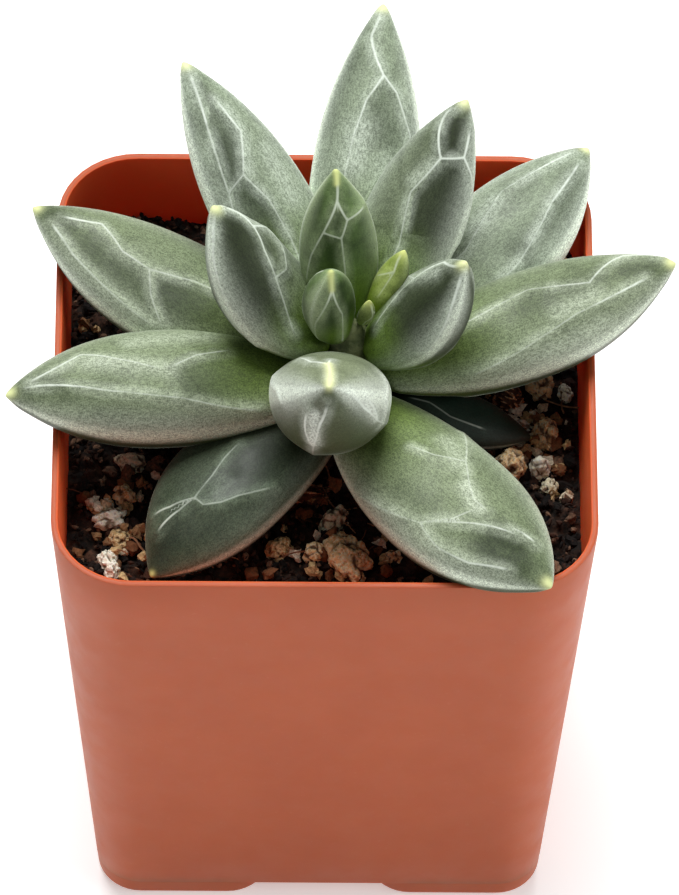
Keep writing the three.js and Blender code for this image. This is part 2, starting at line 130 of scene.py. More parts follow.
# Fine pale lines where a leaf's facets meet. Each point is a share of the leaf's length from its base, and a
# turn round it in degrees: 0 is its right margin seen from the base, 90 its upper face, 180 its left margin
# and 270 its keel.
FACET_LINES = {
    "leaf_02_inner_front": [
        [(0.98, 124), (0.85, 120)],
        [(0.85, 120), (0.47, 166), (0.15, 182)],
        [(0.85, 120), (0.50, 100), (0.05, 108)],
    ],
    "leaf_03_inner_right": [[(0.96, 90), (0.72, 72), (0.30, 80)], [(0.72, 72), (0.50, 130)]],
    "leaf_04_upper_back": [
        [(0.99, 84), (0.83, 92), (0.64, 116), (0.49, 135), (0.30, 150)],
        [(0.83, 92), (0.71, 76), (0.60, 88), (0.45, 86), (0.25, 84)],
        [(0.64, 116), (0.60, 88)],
        [(0.71, 76), (0.77, 24)],
    ],
    "leaf_05_upper_right": [
        [(0.98, 69), (0.86, 128), (0.50, 114), (0.20, 95)],
        [(0.96, 30), (0.70, 16), (0.42, 8)],
        [(0.62, 118), (0.50, 150), (0.30, 160)],
    ],
    "leaf_06_upper_left": [
        [(0.96, 39), (0.87, 42), (0.78, 56), (0.66, 78), (0.52, 92), (0.39, 105), (0.22, 124)],
        [(0.78, 56), (0.69, 24), (0.58, 46), (0.50, 72), (0.52, 92)],
        [(0.98, 130), (0.93, 152), (0.81, 168), (0.65, 170), (0.46, 182), (0.28, 190)],
    ],
    "leaf_07_back_right": [
        [(0.96, 120), (0.92, 124), (0.74, 78), (0.57, 94), (0.36, 82), (0.18, 84)],
        [(0.74, 78), (0.78, 42), (0.90, 36)],
        [(0.78, 42), (0.73, 20), (0.62, -4), (0.46, -12)],
    ],
    "leaf_08_front": [
        [(0.72, 90), (0.81, 87), (0.95, 92)],
        [(0.81, 87), (0.74, 66), (0.56, 58)],
        [(0.95, 274), (0.85, 284), (0.67, 285), (0.40, 283)],
        [(0.88, 315), (0.67, 285)],
        [(0.92, 190), (0.83, 201), (0.68, 206), (0.44, 204)],
        [(0.83, 186), (0.68, 206)],
        [(0.46, 22), (0.69, 4), (0.73, -10)],
        [(0.55, 150), (0.64, 182), (0.60, 198)],
    ],
    "leaf_09_back_left": [
        [(0.96, 105), (0.76, 120), (0.55, 130), (0.58, 105), (0.71, 80), (0.84, 84)],
        [(0.58, 105), (0.47, 93), (0.33, 92), (0.16, 96)],
        [(0.55, 130), (0.36, 146)],
    ],
    "leaf_10_back": [
        [(0.97, 96), (0.89, 108), (0.77, 77)],
        [(0.77, 77), (0.69, 96), (0.58, 105), (0.40, 112), (0.22, 110)],
        [(0.77, 77), (0.72, 58), (0.60, 40), (0.40, 34)],
    ],
    "leaf_11_right": [
        [(0.97, 138), (0.85, 126), (0.72, 87), (0.53, 102), (0.29, 88), (0.15, 90)],
        [(0.90, 62), (0.65, 58), (0.52, 48), (0.27, 26)],
    ],
    "leaf_12_left": [
        [(0.93, 84), (0.76, 66), (0.65, 84), (0.53, 99)],
        [(0.50, 98), (0.41, 86), (0.30, 80)],
        [(0.95, 96), (0.71, 117), (0.47, 129), (0.23, 152)],
    ],
    "leaf_13_left_back": [
        [(0.90, 90), (0.78, 76), (0.68, 98), (0.58, 102), (0.44, 92), (0.28, 90)],
        [(0.92, 118), (0.81, 136), (0.66, 144), (0.49, 154)],
        [(0.58, 102), (0.54, 123), (0.46, 150)],
    ],
    "leaf_14_right_back": [
        [(0.94, 104), (0.66, 114), (0.42, 92), (0.25, 92)],
        [(0.92, 69), (0.74, 66), (0.51, 48), (0.34, 44)],
    ],
    "leaf_15_front_right": [
        [(0.38, 150), (0.52, 114)],
        [(0.52, 114), (0.44, 98), (0.36, 90)],
        [(0.52, 114), (0.60, 100), (0.66, 92), (0.72, 93)],
        [(0.69, 86), (0.67, 66), (0.60, 44), (0.34, 14)],
        [(0.60, 44), (0.70, 33), (0.80, 34), (0.90, 52)],
        [(0.83, 100), (0.72, 74), (0.60, 44)],
        [(0.80, 100), (0.88, 118)],
    ],
    "leaf_16_front_left": [
        [(0.40, 80), (0.49, 82), (0.58, 86), (0.69, 87), (0.76, 81), (0.87, 64)],
        [(0.69, 87), (0.69, 99), (0.64, 110), (0.57, 118), (0.45, 136)],
        [(0.69, 87), (0.77, 68), (0.83, 44)],
    ],
    "leaf_17_low_right": [[(0.20, 92), (0.33, 88), (0.47, 70), (0.70, 60)]],
}

# Dark green patches, partly where the powder is thin and partly painted shade: a path on the leaf, then its
# half-width and strength.
DARK_PATCHES = {
    "leaf_02_inner_front": [
        ([(0.85, 168), (0.36, 172)], 0.8, 0.8),
        ([(0.79, 90), (0.26, 84)], 0.8, 0.6),
        ([(0.58, 134), (0.15, 150)], 0.8, 0.9),
    ],
    "leaf_04_upper_back": [
        ([(0.76, 96), (0.65, 94)], 0.9, 1.0),
        ([(0.53, 100), (0.34, 105)], 1.4, 0.9),
        ([(0.83, 144), (0.68, 140)], 0.9, 0.8),
    ],
    "leaf_05_upper_right": [([(0.85, 40), (0.66, 62), (0.34, 48)], 2.1, 1.0)],
    "leaf_06_upper_left": [([(0.85, 99), (0.67, 120), (0.38, 146)], 2.1, 1.0)],
    "leaf_07_back_right": [
        ([(0.87, 70), (0.72, 54), (0.56, 46), (0.42, 40)], 2.3, 1.0),
        ([(0.80, 122), (0.68, 105)], 1.0, 0.4),
        ([(0.86, 90), (0.80, 66)], 1.0, 0.8),
    ],
    "leaf_09_back_left": [
        ([(0.90, 92), (0.85, 92)], 0.8, 0.6),
        ([(0.69, 110), (0.63, 114), (0.57, 116)], 1.0, 0.9),
        ([(0.52, 111), (0.40, 104), (0.32, 99)], 1.4, 0.7),
    ],
    "leaf_10_back": [
        ([(0.82, 135), (0.71, 144), (0.60, 144)], 1.3, 0.6),
        ([(0.66, 81), (0.60, 74)], 1.0, 0.4),
    ],
    "leaf_11_right": [
        ([(0.76, 93), (0.62, 88), (0.49, 84)], 1.5, 0.5),
        ([(0.33, 68), (0.18, 34)], 2.0, 0.7),
        ([(0.92, 84), (0.84, 92)], 1.3, 0.7),
    ],
    "leaf_12_left": [
        ([(0.42, 126), (0.27, 118)], 2.2, 0.7),
        ([(0.84, 120), (0.69, 110)], 1.3, 0.4),
        ([(0.73, 164), (0.42, 170)], 2.0, 0.9),
        ([(0.93, 92), (0.86, 100)], 1.5, 0.8),
    ],
    "leaf_13_left_back": [
        ([(0.85, 112), (0.69, 117), (0.55, 118)], 1.5, 0.6),
        ([(0.51, 118), (0.36, 122)], 2.2, 0.8),
        ([(0.93, 92), (0.86, 104)], 1.5, 0.8),
    ],
    "leaf_14_right_back": [
        ([(0.86, 60), (0.73, 51), (0.54, 58)], 1.7, 0.65),
        ([(0.75, 102), (0.63, 98)], 1.3, 0.4),
    ],
    "leaf_15_front_right": [
        ([(0.18, 68), (0.28, 74)], 1.6, 0.45),
        ([(0.57, 130), (0.73, 129), (0.87, 128)], 1.5, 0.3),
        ([(0.47, 57), (0.58, 64)], 1.5, 0.4),
        ([(0.80, 78), (0.86, 86), (0.90, 70), (0.85, 58), (0.80, 66)], 2.0, 1.0),
    ],
    "leaf_16_front_left": [([(0.93, 84), (0.86, 92)], 1.3, 0.6), ([(0.52, 100), (0.40, 104)], 1.5, 0.35)],
}

# Hollow facets between the lines, painted darker as shade: the corners of each, then how dark it is.
HOLLOW_FACETS = {
    "leaf_05_upper_right": [
        (
            [
                (0.93, 72), (0.85, 120), (0.68, 118), (0.50, 112),
                (0.30, 100), (0.26, 60), (0.42, 14), (0.70, 21),
            ],
            0.7,
        ),
    ],
    "leaf_06_upper_left": [
        (
            [
                (0.93, 56), (0.79, 60), (0.66, 80), (0.52, 94),
                (0.30, 116), (0.30, 168), (0.65, 168), (0.92, 150),
            ],
            0.75,
        ),
        ([(0.77, 54), (0.69, 27), (0.58, 48), (0.51, 72), (0.54, 88), (0.66, 74)], 0.4),
    ],
    "leaf_07_back_right": [
        ([(0.90, 112), (0.75, 84), (0.77, 46), (0.93, 48)], 0.8),
        ([(0.71, 78), (0.75, 42), (0.71, 24), (0.57, 18), (0.44, 44), (0.41, 78), (0.57, 90)], 0.8),
    ],
    "leaf_09_back_left": [
        (
            [
                (0.84, 96), (0.78, 85), (0.72, 80), (0.65, 92),
                (0.59, 104), (0.56, 126), (0.66, 124), (0.77, 117),
            ],
            0.75,
        ),
        ([(0.57, 106), (0.48, 96), (0.34, 95), (0.38, 138), (0.54, 128)], 0.6),
    ],
    "leaf_10_back": [
        ([(0.76, 76), (0.69, 95), (0.58, 105), (0.53, 84), (0.56, 52), (0.62, 44), (0.72, 60)], 0.35),
    ],
    "leaf_12_left": [
        (
            [
                (0.51, 98), (0.47, 86), (0.39, 76), (0.28, 74),
                (0.20, 104), (0.23, 141), (0.34, 135), (0.46, 122),
            ],
            0.5,
        ),
    ],
    "leaf_13_left_back": [
        ([(0.81, 82), (0.70, 96), (0.57, 103), (0.53, 126), (0.49, 147), (0.62, 141), (0.79, 133)], 0.4),
        ([(0.55, 104), (0.46, 94), (0.34, 92), (0.33, 120), (0.45, 147), (0.52, 124)], 0.55),
    ],
    "leaf_16_front_left": [
        ([(0.48, 84), (0.58, 88), (0.68, 90), (0.64, 110), (0.49, 130), (0.30, 132), (0.30, 94)], 0.4),
    ],
}

# White patches where the powder is thick: a path on the leaf, then its half-width and strength.
POWDER_PATCHES = {
    "leaf_05_upper_right": [([(0.80, 110), (0.55, 128)], 0.9, 0.5)],
    "leaf_06_upper_left": [
        ([(0.80, 20), (0.60, 12), (0.40, 10)], 1.0, 0.4),
        ([(0.95, 30), (0.82, 40)], 0.7, 0.9),
        ([(0.92, 172), (0.80, 184), (0.60, 190), (0.40, 194)], 0.8, 0.85),
    ],
    "leaf_07_back_right": [([(0.72, 82), (0.62, 96)], 0.9, 0.45)],
    "leaf_08_front": [
        ([(0.88, 297), (0.80, 291), (0.70, 286)], 0.75, 1.0),
        ([(0.83, 194), (0.70, 204)], 0.6, 0.8),
        ([(0.52, 150), (0.62, 180), (0.60, 205)], 0.9, 0.7),
        ([(0.46, 22), (0.66, 4)], 0.8, 0.6),
        ([(0.62, 64), (0.70, 66)], 0.6, 0.5),
    ],
    "leaf_09_back_left": [
        ([(0.80, 78), (0.70, 80), (0.58, 100)], 0.8, 0.45),
        ([(0.62, 60), (0.45, 66)], 1.2, 0.35),
    ],
    "leaf_10_back": [([(0.60, 100), (0.50, 104)], 1.5, 0.5), ([(0.50, 70), (0.42, 66)], 1.5, 0.3)],
    "leaf_11_right": [([(0.72, 72), (0.60, 66)], 1.1, 0.4), ([(0.50, 20), (0.70, 24)], 1.5, 0.4)],
    "leaf_12_left": [
        ([(0.74, 78), (0.60, 90), (0.50, 100)], 1.1, 0.45),
        ([(0.60, 60), (0.35, 56)], 1.2, 0.4),
    ],
    "leaf_13_left_back": [([(0.70, 96), (0.56, 104)], 0.9, 0.35)],
    "leaf_14_right_back": [([(0.62, 112), (0.50, 104)], 1.1, 0.4)],
    "leaf_15_front_right": [([(0.60, 98), (0.69, 88)], 0.9, 0.6), ([(0.52, 110), (0.40, 120)], 1.2, 0.4)],
    "leaf_16_front_left": [([(0.58, 96), (0.66, 100)], 1.0, 0.35)],
}

# Paths of the pale yellow-green tips that run down the leaf, with their half-widths. The other leaves have
# the plain tip.
TIP_PATHS = {
    "leaf_02_inner_front": ([(0.995, 124), (0.84, 120)], 0.28),
    "leaf_04_upper_back": ([(0.998, 84), (0.93, 90)], 0.26),
    "leaf_08_front": ([(0.80, 87), (0.95, 92), (0.999, 95)], 0.45),
    "leaf_16_front_left": ([(0.99, 90), (0.999, 90)], 0.35),
    "leaf_17_low_right": ([(0.997, 90), (0.999, 90)], 0.1),
}
PLAIN_TIP = ([(0.985, 90), (0.999, 90)], 0.6)

# Facet lines that each leaf but leaf_08 has on its underside.
UNDERSIDE_LINES = [
    [(0.95, 268), (0.76, 270), (0.60, 272), (0.20, 270)],
    [(0.76, 270), (0.58, 232), (0.34, 224)],
    [(0.60, 272), (0.44, 312), (0.24, 320)],
]

# The ridge under each facet line: a broad rise with a narrow crest, lower on narrow leaves. A line's colour
# fades out towards an end that joins no other line. Each stretch of a path is cut into LINE_STEPS steps.
RIDGE_HEIGHT = 0.27
RIDGE_HALF_WIDTH = 1.1
CREST_HALF_WIDTH = 0.3
CREST_SHARE = 0.35
FADE_LENGTH = 1.1
JOINED_WITHIN = 0.3
LINE_STEPS = 40

# Grit on the soil: place in the pot, half-lengths, turn in degrees, and the kind of stone, or bark.
GRIT = [
    ("pumice_01", (2.3, -16.6), (1.9, 2.9, 1.9), 25, "tan"),
    ("pumice_02", (17.6, -6.1), (1.5, 1.7, 2.0), -20, "tan"),
    ("pumice_03", (20.4, -6.0), (1.1, 1.1, 1.5), 30, "white"),
    ("pumice_04", (20.6, 3.6), (1.3, 1.6, 1.5), 10, "tan"),
    ("pumice_05", (21.0, -2.0), (1.25, 1.8, 1.5), 15, "tan"),
    ("pumice_06", (18.5, -1.0), (1.1, 1.0, 1.1), 0, "white"),
    ("pumice_07", (22.9, 2.7), (0.8, 0.9, 1.0), 20, "white"),
    ("pumice_08", (21.3, -7.9), (1.0, 0.9, 0.9), 35, "grey"),
    ("pumice_09", (-18.8, -9.4), (1.2, 1.1, 1.1), 0, "tan"),
    ("pumice_10", (-20.2, -12.2), (1.8, 1.1, 1.1), 12, "white"),
    ("pumice_11", (-19.1, -14.5), (1.0, 1.1, 0.9), 45, "brown"),
    ("pumice_12", (-20.2, -17.5), (1.1, 1.6, 1.3), 15, "white"),
    ("pumice_13", (-18.3, -5.8), (1.5, 1.0, 1.0), -10, "grey"),
    ("pumice_14", (1.0, -12.1), (1.6, 1.4, 1.3), 40, "grey"),
    ("pumice_15", (-0.9, -16.1), (1.1, 1.2, 1.1), 50, "tan"),
    ("pumice_16", (-4.2, -15.4), (1.3, 1.3, 1.1), -35, "brown"),
    ("pumice_17", (6.4, -16.1), (1.0, 0.9, 0.9), 5, "tan"),
    ("pumice_18", (-12.6, 17.6), (1.5, 1.2, 1.1), 20, "white"),
    ("pumice_19", (11.2, 17.8), (1.5, 1.4, 1.1), -25, "tan"),
    ("pumice_20", (-20.4, 3.6), (1.3, 1.6, 1.1), 60, "brown"),
    ("bark_01", (-1.4, -9.2), (2.7, 1.1, 1.1), 5, "bark"),
    ("bark_02", (17.6, 1.8), (1.7, 1.4, 1.2), -30, "bark"),
    ("bark_03", (-16.8, 13.2), (2.2, 1.1, 0.9), -40, "bark"),
]

# Grains with more than these half-depths are modelled from a finer ball.
MEDIUM_GRAIN = 1.35
LARGE_GRAIN = 2

# Each kind of grit: its dark and light colours, its specks and the dark colour painted as shade in its
# clefts.
STONES = [
    ("tan", (0.66, 0.34, 0.12), (1.0, 0.68, 0.33), (1.0, 0.90, 0.64), (0.07, 0.026, 0.009)),
    ("white", (0.74, 0.68, 0.46), (1.0, 1.0, 0.80), (1.0, 1.0, 0.92), (0.14, 0.09, 0.045)),
    ("grey", (0.46, 0.39, 0.22), (0.82, 0.76, 0.52), (0.96, 0.94, 0.74), (0.08, 0.045, 0.02)),
    ("brown", (0.30, 0.15, 0.05), (0.66, 0.44, 0.19), (0.88, 0.72, 0.42), (0.05, 0.02, 0.008)),
    ("bark", (0.34, 0.10, 0.035), (0.70, 0.30, 0.13), (0.95, 0.66, 0.42), (0.05, 0.016, 0.008)),
]

# Heaps of small pumice chips: middle in the pot, spread and how many.
CHIP_HEAPS = [(19.5, -2.5, 2.6, 70), (-19.5, -12, 2.6, 34), (1, -15.5, 3.6, 46), (0, 0, 14, 70)]

# Lamps: place in metres, size and power. All point at LAMPS_AIM.
LAMPS = [
    ("overhead", (-0.06, 0.34, 0.74), 0.5, 8.1),
    ("right_high", (0.48, -0.28, 0.46), 0.18, 0.4),
    ("low_front", (0.05, -0.80, 0.08), 0.35, 0.48),
    ("left_strip", (-0.65, -0.20, 0.20), 0.25, 0.35),
    ("right_strip", (0.65, -0.10, 0.30), 0.25, 1.1),
]
LAMPS_AIM = Vector((0, 0, 0.05))


def clear_selection():
    if bpy.context.mode != "OBJECT":
        bpy.ops.object.mode_set(mode="OBJECT")
    bpy.ops.object.select_all(action="DESELECT")


def settle(piece, name):
    """Names a finished piece, settles its place into its mesh and ties it to the part's one body."""
    clear_selection()
    piece.select_set(True)
    bpy.context.view_layer.objects.active = piece
    bpy.ops.object.transform_apply(location=True, rotation=True, scale=True)
    piece.name = name
    piece.data.name = name
    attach(piece, "root")


def apply_modifier(piece, modifier):
    bpy.context.view_layer.objects.active = piece
    bpy.ops.object.modifier_apply(modifier=modifier.name)


def store(mesh, name, values, kind="FLOAT", field="value"):
    """Keeps one number or vector at each point of a mesh, for its material to read."""
    layer = mesh.attributes.new(name, kind, "POINT")
    layer.data.foreach_set(field, np.asarray(values, dtype=np.float32).ravel())


def points_of(mesh):
    """The places of a mesh's points, one row each."""
    flat = np.empty(len(mesh.vertices) * 3)
    mesh.vertices.foreach_get("co", flat)
    return flat.reshape(-1, 3)


class Nodes:
    """A material under way: adds nodes and wires them up."""

    def __init__(self, name):
        self.material = bpy.data.materials.new(name)
        self.material.use_nodes = True
        self.tree = self.material.node_tree
        self.shader = self.tree.nodes["Principled BSDF"]

    def add(self, kind, settings=(), inputs=()):
        node = self.tree.nodes.new(kind)
        for key, value in dict(settings).items():
            setattr(node, key, value)
        for key, value in dict(inputs).items():
            self.put(node.inputs[key], value)
        return node

    def put(self, socket, value):
        if isinstance(value, bpy.types.NodeSocket):
            self.tree.links.new(value, socket)
        else:
            socket.default_value = value

    def place(self):
        return self.add("ShaderNodeTexCoord").outputs["Object"]

    def value(self, name):
        return self.add("ShaderNodeAttribute", {"attribute_name": name}).outputs["Fac"]

    def vector(self, name):
        return self.add("ShaderNodeAttribute", {"attribute_name": name}).outputs["Vector"]

    def noise(self, size, detail=4.0, rough=0.5, vector=None, distortion=0.0):
        """Noise whose lumps are about size millimetres across."""
        inputs = {
            "Vector": vector or self.place(),
            "Scale": 1.0 / (size * MM),
            "Detail": detail,
            "Roughness": rough,
            "Distortion": distortion,
        }
        return self.add("ShaderNodeTexNoise", inputs=inputs).outputs["Fac"]

    def cells(self, size):
        """Distance from the middles of cells that are about size millimetres across."""
        inputs = {"Vector": self.place(), "Scale": 1.0 / (size * MM)}
        return self.add("ShaderNodeTexVoronoi", inputs=inputs).outputs["Distance"]

    def span(self, value, low, high, to_low=0.0, to_high=1.0):
        """Maps low to to_low and high to to_high, with a soft start and end."""
        inputs = {"Value": value, "From Min": low, "From Max": high, "To Min": to_low, "To Max": to_high}
        node = self.add("ShaderNodeMapRange", {"interpolation_type": "SMOOTHSTEP"}, inputs)
        return node.outputs["Result"]

    def combine(self, operation, first, second):
        node = self.add("ShaderNodeMath", {"operation": operation})
        self.put(node.inputs[0], first)
        self.put(node.inputs[1], second)
        return node.outputs["Value"]

    def mix(self, share, first, second, blend="MIX"):
        node = self.add("ShaderNodeMix", {"data_type": "RGBA", "blend_type": blend})
        for socket, value in zip((node.inputs[0], node.inputs[6], node.inputs[7]), (share, first, second)):
            self.put(socket, value)
        return node.outputs[2]

    def bump(self, height, depth, strength=1.0):
        """A bump of depth millimetres."""
        inputs = {"Height": height, "Distance": depth * MM, "Strength": strength}
        normal = self.add("ShaderNodeBump", inputs=inputs).outputs["Normal"]
        self.put(self.shader.inputs["Normal"], normal)

    def finish(self, color, roughness, **constants):
        self.put(self.shader.inputs["Base Color"], color)
        self.put(self.shader.inputs["Roughness"], roughness)
        for key, value in constants.items():
            self.shader.inputs[key.replace("_", " ")].default_value = value
        return self.material


def tint(red, green, blue):
    return (red, green, blue, 1.0)


def leaf_skin(name, dark, light, neck, powder, graininess, outline_span):
    """Waxy leaf skin with pale facet lines and powder.

    Its shade and light are painted: darker where it faces down, lighter where it faces up.
    """
    m = Nodes(name)
    along = m.value("along")
    away = m.value("away")
    up = m.value("up")
    own_place = m.vector("own_place")
    drawn_out = m.add("ShaderNodeVectorMath", {"operation": "MULTIPLY"}, {0: own_place, 1: (1, 1, 0.4)})
    streaks = m.noise(0.2, 4.0, 0.65, vector=drawn_out.outputs["Vector"])
    grain = m.noise(0.13, 3.0, 0.75, vector=own_place)
    clouds = m.noise(3.0, 5.0, 0.62, distortion=0.5)
    # Painted light and shade: lighter where the skin faces up, darker where it faces down.
    lit = m.combine("ADD", up, m.combine("MULTIPLY", m.combine("SUBTRACT", clouds, 0.5), 1.7))
    color = m.mix(m.span(lit, 0.0, 1.0), dark, light)
    # Darker in the dark patches, partly thin powder and partly painted shade.
    color = m.mix(m.combine("MULTIPLY", m.value("shade"), m.span(clouds, 0.1, 0.5, 0.75, 1.0)), color, dark)
    # Painted shade in the hollow facets.
    hollow_shade = m.combine("MULTIPLY", m.span(m.value("facet"), -0.12, 0.16), m.value("hollow_shade"))
    color = m.mix(m.combine("MULTIPLY", hollow_shade, m.span(clouds, 0.2, 0.6, 0.6, 1.0)), color, dark)
    color = m.mix(m.span(along, 0.5, 0.1, 0.0, 0.8), color, neck)
    # Paler at the margins that face up and at the outline: partly powder, partly a painted rim highlight.
    margin = m.combine("MULTIPLY", m.value("edge"), m.span(up, -0.45, 0.35, 0.0, 0.8))
    color = m.mix(margin, color, powder)
    outline = m.span(m.value("edge"), *outline_span, 0.0, 0.95)
    outline = m.combine("MULTIPLY", outline, m.span(up, -0.6, 0.0))
    color = m.mix(outline, color, m.mix(0.65, powder, tint(*RIM_HIGHLIGHT_COLOR)))
    glow = m.combine("MULTIPLY", m.span(away, 1.2, 0.1), m.span(clouds, 0.3, 0.7, 0.08, 0.45))
    thick_powder = m.combine("MULTIPLY", m.value("powder"), m.span(streaks, 0.3, 0.6, 0.6, 1.0))
    color = m.mix(m.combine("MAXIMUM", glow, thick_powder), color, powder)
    tone = m.combine("ADD", m.combine("MULTIPLY", streaks, 0.35), m.combine("MULTIPLY", grain, 0.65))
    tone_color = m.mix(m.span(tone, 0.38, 0.63), tint(0.48, 0.51, 0.42), tint(1.52, 1.54, 1.40))
    color = m.mix(graininess, color, tone_color, "MULTIPLY")
    pits = m.span(m.noise(0.2, 2.0, 0.5, vector=own_place), 0.37, 0.27, 0.0, 0.55)
    color = m.mix(pits, color, dark)
    broken = m.span(m.noise(2.2, 3.0, 0.6), 0.25, 0.55, 0.45, 1.0)
    to_line = m.add("ShaderNodeVectorMath", {"operation": "LENGTH"}, {0: m.vector("to_line")})
    from_line = m.combine("MAXIMUM", to_line.outputs["Value"], m.combine("SUBTRACT", away, 0.25))
    core = m.combine("MULTIPLY", m.span(from_line, 0.19, 0.07), broken)
    core = m.combine("MULTIPLY", core, m.span(along, 0.98, 0.80, 0.35, 1.0))
    core = m.combine("MULTIPLY", core, m.span(m.value("to_end"), 0.05, 0.95))
    color = m.mix(core, color, m.mix(0.6, powder, tint(*LINE_COLOR)))
    tip = m.combine("MULTIPLY", m.value("tip"), 0.9)
    color = m.mix(tip, color, m.mix(0.6, powder, tint(*TIP_COLOR)))
    roughness = m.span(m.noise(2.5, 3.0), 0.3, 0.7, 0.42, 0.6)
    m.bump(m.combine("ADD", grain, streaks), 0.02, 0.7)
    return m.finish(
        color,
        roughness,
        Sheen_Weight=0.45,
        Sheen_Roughness=0.14,
        Sheen_Tint=tint(0.86, 1.0, 0.80),
        Specular_IOR_Level=0.28,
    )


def leaf_reach(t, widest):
    """Share of the greatest width that a leaf has at a share t of its length."""
    t = min(t, 0.999)  # the tip keeps a trace of width
    if t < widest:
        return LEAF_NECK + (1 - LEAF_NECK) * (1 - ((widest - t) / widest) ** 2.2)
    return (1 - ((t - widest) / (1 - widest)) ** 2.2) ** 0.9


def grow_leaf(name, base, tip, width, thick, sag, bend, widest, skin, smoothings):
    """Models one leaf standing on its base, extruded ring by ring, then leans it into its place."""
    base = Vector(base)
    tip = Vector(tip)
    length = (tip - base).length
    # Rings are drawn a little too wide, to make up for what subdivision takes off them.
    swell = 3 / (2 + math.cos(2 * math.pi / LEAF_SIDES))

    def middle(t):
        bow = 4 * t * (1 - t)
        return Vector((bend * bow, sag * bow, t * length)) * MM

    clear_selection()
    bpy.ops.mesh.primitive_circle_add(vertices=LEAF_SIDES, radius=1.0, fill_type="NGON", location=(0, 0, 0))
    leaf = bpy.context.active_object
    inset = RIDGE_HEIGHT / 2
    half = (width / 2 - inset) * MM * swell
    for vertex in leaf.data.vertices:
        share = UPPER_SHARE if vertex.co.y < 0 else 1 - UPPER_SHARE
        vertex.co.x *= half
        vertex.co.y *= (thick * share - inset) * MM * swell
    bpy.ops.object.mode_set(mode="EDIT")
    bpy.ops.mesh.select_all(action="SELECT")
    size = leaf_reach(0, widest)
    bpy.ops.transform.resize(value=(size, size, 1), center_override=(0, 0, 0))
    here = middle(0)
    for i in range(1, LEAF_RINGS + 1):
        t = LAST_RING * (1 - (1 - i / LEAF_RINGS) ** RING_CROWDING)
        there = middle(t)
        bpy.ops.mesh.extrude_region_move(TRANSFORM_OT_translate={"value": there - here})
        grown = leaf_reach(t, widest)
        bpy.ops.transform.resize(value=(grown / size, grown / size, 1), center_override=there)
        here = there
        size = grown
    bpy.ops.mesh.extrude_region_move(TRANSFORM_OT_translate={"value": middle(1.0) - here})
    bpy.ops.mesh.merge(type="CENTER")
    bpy.ops.mesh.select_all(action="SELECT")
    bpy.ops.mesh.fill_holes(sides=0)
    bpy.ops.mesh.normals_make_consistent(inside=False)
    bpy.ops.object.mode_set(mode="OBJECT")
    smooth = leaf.modifiers.new("smooth", "SUBSURF")
    smooth.levels = smoothings
    smooth.render_levels = smoothings
    apply_modifier(leaf, smooth)

    along = (tip - base).normalized()
    side = along.cross(Vector((0, 0, 1))).normalized()
    face = side.cross(along)
    lines = list(FACET_LINES.get(name, []))
    if name != "leaf_08_front":
        lines += UNDERSIDE_LINES
    mark_facets(leaf, lines, name, middle, length, width, thick, widest)
    mesh = leaf.data
    normals = np.empty(len(mesh.vertices) * 3)
    mesh.vertex_normals.foreach_get("vector", normals)
    # How far each point faces up, which the skin reads for its painted light and shade.
    store(mesh, "up", normals.reshape(-1, 3) @ np.array((side.z, -face.z, along.z)))
    leaning = Matrix((side, -face, along)).transposed().to_4x4()
    leaf.matrix_world = Matrix.Translation(base * MM + POT_AXIS) @ leaning
    mesh.materials.append(skin)
    settle(leaf, name.replace("leaf_", "jewel_leaf_"))
    bpy.ops.object.shade_smooth()
    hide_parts(name)


def distances(points, trail):
    """How far each point is from the nearest point of a trail, in millimetres."""
    return np.linalg.norm(points[:, None] - trail[None], axis=2).min(axis=1) / MM


